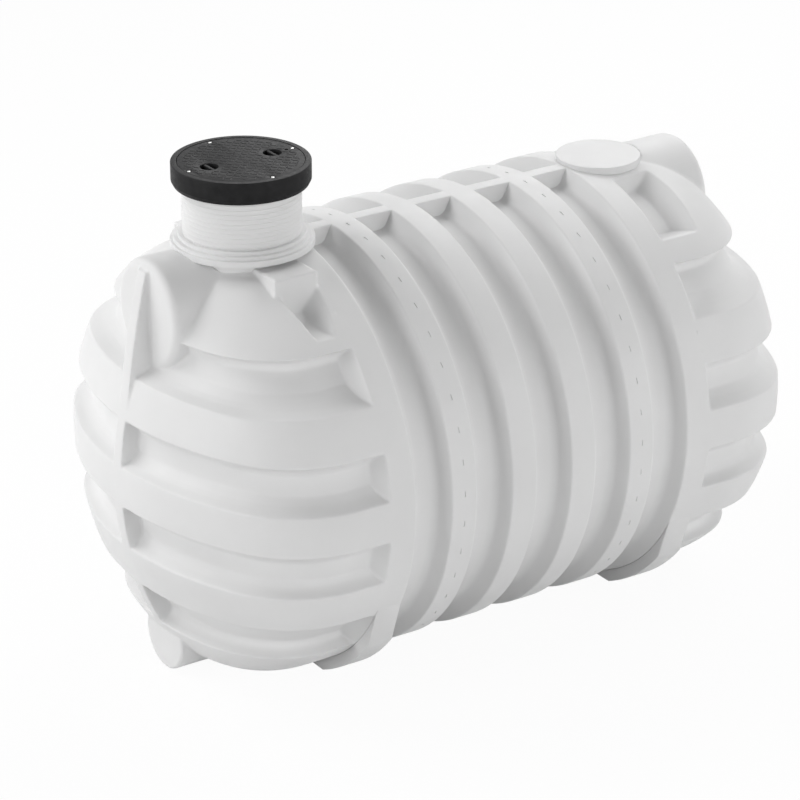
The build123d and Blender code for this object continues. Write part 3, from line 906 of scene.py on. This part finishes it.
class TANK_OT_studio(bpy.types.Operator):
    """Set the pale floor, the soft lamps and the camera at the photograph's angle"""
    bl_idname = "tank.studio"
    bl_label = "Studio"

    def execute(self, context):
        scene = context.scene
        clear_selection()
        bpy.ops.mesh.primitive_plane_add(size=1, location=(0, 0, -FLOOR_DROP))
        floor = named("studio_floor")
        floor.scale = (FLOOR_SPAN, FLOOR_SPAN, 1)
        bpy.ops.object.transform_apply(location=True, rotation=True, scale=True)
        material = bpy.data.materials.new("studio_floor")
        material.use_nodes = True
        nodes = material.node_tree.nodes
        links = material.node_tree.links
        nodes.clear()
        output = nodes.new("ShaderNodeOutputMaterial")
        mixed = nodes.new("ShaderNodeMixShader")
        matte = nodes.new("ShaderNodeBsdfDiffuse")
        matte.inputs["Color"].default_value = FLOOR_TONE
        glow = nodes.new("ShaderNodeEmission")
        glow.inputs["Strength"].default_value = 1.0
        amount = nodes.new("ShaderNodeMath")
        amount.operation = "MULTIPLY"
        amount.inputs[1].default_value = FLOOR_GLOW
        links.new(self.plain_rays(nodes, links), amount.inputs[0])
        links.new(amount.outputs["Value"], mixed.inputs["Fac"])
        links.new(matte.outputs["BSDF"], mixed.inputs[1])
        links.new(glow.outputs["Emission"], mixed.inputs[2])
        links.new(mixed.outputs["Shader"], output.inputs["Surface"])
        floor.data.materials.append(material)

        world = bpy.data.worlds.new("studio_world")
        world.use_nodes = True
        scene.world = world
        nodes = world.node_tree.nodes
        links = world.node_tree.links
        nodes.clear()
        output = nodes.new("ShaderNodeOutputWorld")
        mixed = nodes.new("ShaderNodeMixShader")
        seen = nodes.new("ShaderNodeBackground")
        seen.inputs["Color"].default_value = BACKGROUND_TONE
        lit = nodes.new("ShaderNodeBackground")
        lit.inputs["Color"].default_value = BACKGROUND_TONE
        lit.inputs["Strength"].default_value = ROOM_LIGHT
        links.new(self.plain_rays(nodes, links), mixed.inputs["Fac"])
        links.new(lit.outputs["Background"], mixed.inputs[1])
        links.new(seen.outputs["Background"], mixed.inputs[2])
        links.new(mixed.outputs["Shader"], output.inputs["Surface"])

        for name, place, power in SOFTBOXES:
            data = bpy.data.lights.new(name, "AREA")
            data.shape = "RECTANGLE"
            data.size = SOFTBOX_WIDTH
            data.size_y = SOFTBOX_HEIGHT
            data.energy = power
            lamp = bpy.data.objects.new(name, data)
            lamp.location = place
            aim = Vector(SOFTBOX_AIM) - Vector(place)
            lamp.rotation_euler = aim.to_track_quat("-Z", "Y").to_euler()
            scene.collection.objects.link(lamp)

        data = bpy.data.cameras.new("photo_camera")
        data.sensor_width = 36
        data.lens = CAMERA_LENS
        data.shift_x, data.shift_y = CAMERA_SHIFT
        data.clip_end = 200
        camera = bpy.data.objects.new("photo_camera", data)
        right = Vector(CAMERA_RIGHT).normalized()
        up = Vector(CAMERA_UP).normalized()
        back = right.cross(up).normalized()
        up = back.cross(right)
        turn = Matrix((right, up, back)).transposed().to_4x4()
        camera.matrix_world = Matrix.Translation(CAMERA_PLACE) @ turn
        scene.collection.objects.link(camera)
        scene.camera = camera
        scene.view_settings.view_transform = "Standard"
        return {"FINISHED"}

    def plain_rays(self, nodes, links):
        """One where a ray comes from the camera or a reflection, which see the background white."""
        rays = nodes.new("ShaderNodeLightPath")
        total = rays.outputs["Is Camera Ray"]
        for kind in ("Is Glossy Ray", "Is Transmission Ray"):
            added = nodes.new("ShaderNodeMath")
            added.operation = "MAXIMUM"
            links.new(total, added.inputs[0])
            links.new(rays.outputs[kind], added.inputs[1])
            total = added.outputs["Value"]
        return total


class TANK_PT_panel(bpy.types.Panel):
    """Lists the tank's pieces"""
    bl_label = "Water Tank"
    bl_idname = "TANK_PT_panel"
    bl_space_type = "VIEW_3D"
    bl_region_type = "UI"
    bl_category = "Water Tank"

    def draw(self, context):
        for operator in OPERATORS:
            self.layout.operator(operator.bl_idname)


GROUPS = (TankShapeSettings, NeckSettings, FinishSettings)
OPERATORS = (
    TANK_OT_studio,
    TANK_OT_end_skins,
    TANK_OT_barrel,
    TANK_OT_crest,
    TANK_OT_collar,
    TANK_OT_riser,
    TANK_OT_cover,
    TANK_OT_carried_nodes,
)


def register():
    for group in GROUPS:
        bpy.utils.register_class(group)
    for operator in OPERATORS:
        bpy.utils.register_class(operator)
    bpy.utils.register_class(TANK_PT_panel)
    bpy.types.Scene.tank_shape = bpy.props.PointerProperty(type=TankShapeSettings)
    bpy.types.Scene.tank_neck = bpy.props.PointerProperty(type=NeckSettings)
    bpy.types.Scene.tank_finish = bpy.props.PointerProperty(type=FinishSettings)


def unregister():
    del bpy.types.Scene.tank_shape
    del bpy.types.Scene.tank_neck
    del bpy.types.Scene.tank_finish
    bpy.utils.unregister_class(TANK_PT_panel)
    for operator in reversed(OPERATORS):
        bpy.utils.unregister_class(operator)
    for group in reversed(GROUPS):
        bpy.utils.unregister_class(group)


def main():
    register()
    for operator in OPERATORS:
        family, action = operator.bl_idname.split(".")
        getattr(getattr(bpy.ops, family), action)()
    clear_selection()


if __name__ == "__main__":
    main()
